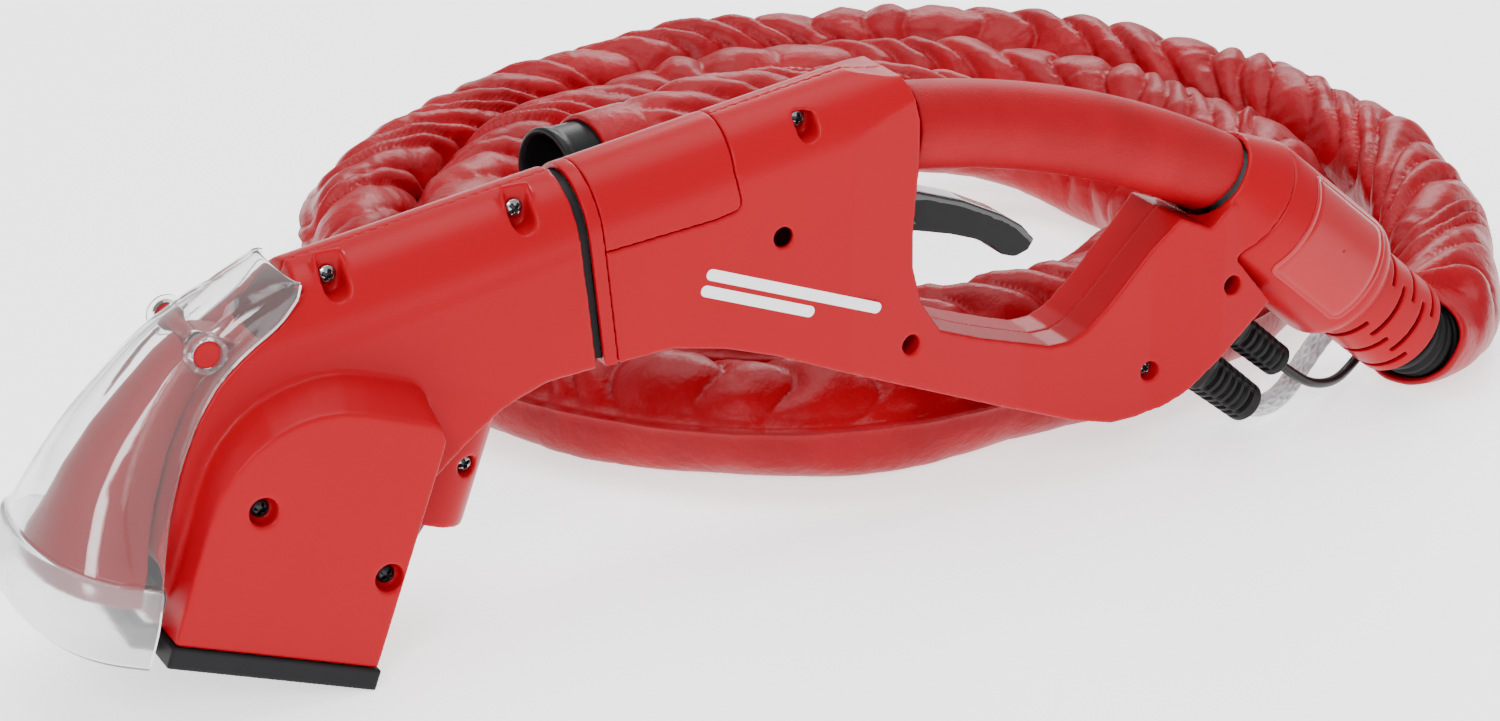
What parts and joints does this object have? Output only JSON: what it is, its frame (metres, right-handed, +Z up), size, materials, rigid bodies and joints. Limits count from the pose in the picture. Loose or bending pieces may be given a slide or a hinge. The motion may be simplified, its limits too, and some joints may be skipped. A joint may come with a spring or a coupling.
{
  "type": "upholstery cleaning hand tool",
  "caption": "Motorised upholstery cleaning hand tool with clear suction nozzle, trigger handle and coiled vacuum hose in a fabric sleeve.",
  "frame": {"origin": "on the floor, under the centre of the tool's own box (without the hose and cords)", "axes": "+X from the nozzle towards the tail, +Y to the side where the hose is coiled, +Z up, in the stance in which the tool rests"},
  "size_m": [0.7513, 0.536, 0.1848],
  "materials": {
    "red_plastic": "moulded, satin gloss",
    "clear_plastic": "clear moulded polycarbonate",
    "grip_rubber": "fine texture",
    "black_rubber": "matt",
    "black_plastic": "satin",
    "bristle": "nylon bristles",
    "steel": "plain",
    "screw_steel": "bright zinc",
    "copper": "wound copper",
    "duct_grey": "moulded",
    "nylon": "natural",
    "clear_tube": "translucent tube",
    "cable": "smooth jacket",
    "label": "printed film, blank",
    "white_braid": "braided polyester over a clear tube",
    "red_fabric": "coated nylon, quilted and wrinkled"
  },
  "bodies": {
    "tool": {"head_shell_near": "red_plastic", "head_shell_far": "red_plastic", "nozzle_cover": "clear_plastic", "nozzle_core": "red_plastic", "cover_pin": "red_plastic", "bumper": "black_rubber", "brush_pin": "steel", "motor_can": "steel", "motor_cradle": "black_plastic", "spray_tip": "black_plastic", "spray_tube": "clear_tube", "head_screws": "screw_steel", "bump_screws": "screw_steel", "joint_seal": "black_rubber", "front_collar": "red_plastic", "body_shell_near": "red_plastic", "body_shell_far": "red_plastic", "top_cover": "red_plastic", "suction_duct": "duct_grey", "grip_sleeve": "grip_rubber", "grip_tube": "duct_grey", "trigger_pin": "steel", "valve_body": "black_plastic", "valve_spring": "steel", "motor_switch": "black_plastic", "solution_tube": "clear_tube", "wiring": "cable", "body_screws": "screw_steel", "rear_barrel": "red_plastic", "label_plate": "label", "hose_neck": "black_rubber", "relief_upper": "black_rubber", "relief_lower": "black_rubber", "power_cable": "cable", "braided_tube": "white_braid", "hose_sleeve": "red_fabric", "sleeve_end_band": "red_fabric", "machine_cuff": "black_plastic"},
    "trigger": {"trigger": "black_plastic"},
    "plunger": {"valve_plunger": "nylon"},
    "swivel": {"swivel_cuff": "red_plastic"},
    "rotor": {"motor_rotor": "copper"},
    "brush": {"brush_block": "black_plastic", "bristles": "bristle"}
  },
  "joints": [
    {"name": "trigger_squeeze", "type": "hinge", "parent": "tool", "child": "trigger", "pos_m": [0.02703, 0, 0.129], "axis": [0, -1, 0], "range_deg": [0, 10], "stiffness_Nm_per_rad": 0.6, "springref_deg": -5.73},
    {"name": "plunger_slide", "type": "slide", "parent": "tool", "child": "plunger", "axis": [0, 0, -1], "range_m": [0, 0.003], "deforming": ["valve_spring"]},
    {"name": "cuff_swivel", "type": "hinge", "parent": "tool", "child": "swivel", "pos_m": [0.26103, 0, 0.056], "axis": [0.766, 0, -0.6428], "continuous": true},
    {"name": "rotor_spin", "type": "hinge", "parent": "tool", "child": "rotor", "pos_m": [-0.20586, 0, 0.07638], "axis": [0, 1, 0], "continuous": true},
    {"name": "brush_rock", "type": "hinge", "parent": "tool", "child": "brush", "pos_m": [-0.22023, 0, 0.03692], "axis": [0, 1, 0], "range_deg": [-2, 2]}
  ],
  "couplings": [
    {"joint": "plunger_slide", "follows": "trigger_squeeze", "m_per_rad": 0.016}
  ]
}
